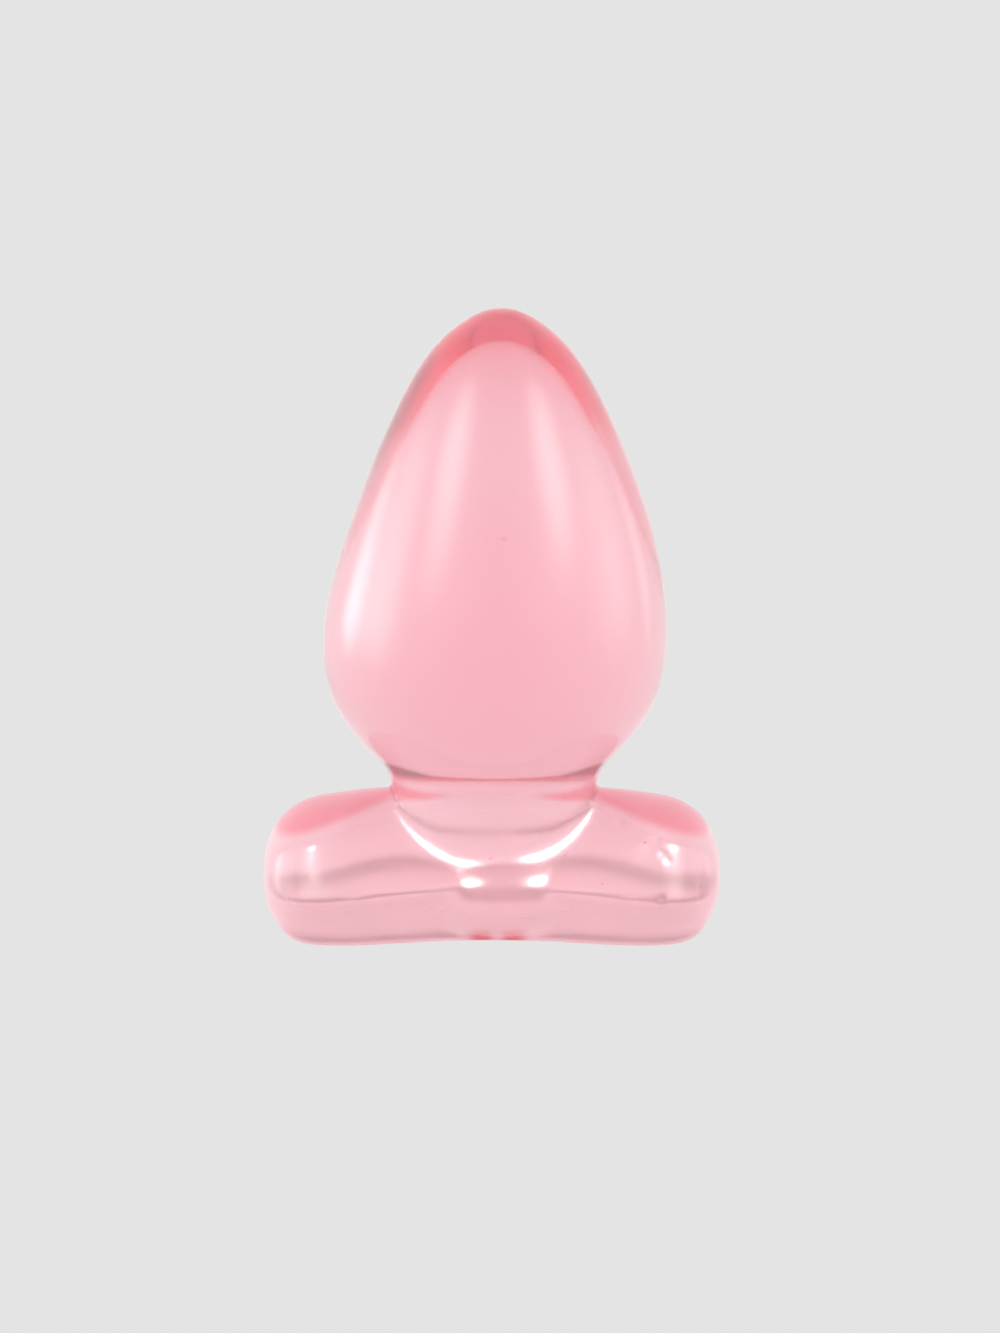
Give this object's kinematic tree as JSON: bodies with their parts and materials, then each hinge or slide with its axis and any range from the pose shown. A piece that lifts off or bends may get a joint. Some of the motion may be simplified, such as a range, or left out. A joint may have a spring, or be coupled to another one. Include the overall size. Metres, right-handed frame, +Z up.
{
  "type": "tapered plug with flared base",
  "caption": "Soft egg-shaped plug on a short flexible neck over a flared T-bar base, moulded in one piece from translucent pink jelly elastomer.",
  "frame": {"origin": "centre of the base's flat underside, on the surface that the part stands on", "axes": "+Z up the axis of the plug towards its tip, +X along the T-bar of the base, +Y across the bar"},
  "size_m": [0.1008, 0.0772, 0.14],
  "materials": {
    "pink_jelly": "clear soft elastomer tinted pink through its whole depth, satin on the head and glossy on the neck and base"
  },
  "bodies": {
    "base": {"base": "pink_jelly", "neck": "pink_jelly"},
    "head": {"head": "pink_jelly"}
  },
  "joints": [
    {"name": "neck_bend", "type": "hinge", "parent": "base", "child": "head", "pos_m": [0, 0, 0.03], "axis": [1, 0, 0], "range_deg": [-25, 25], "stiffness_Nm_per_rad": 2.7, "deforming": ["neck"]}
  ]
}
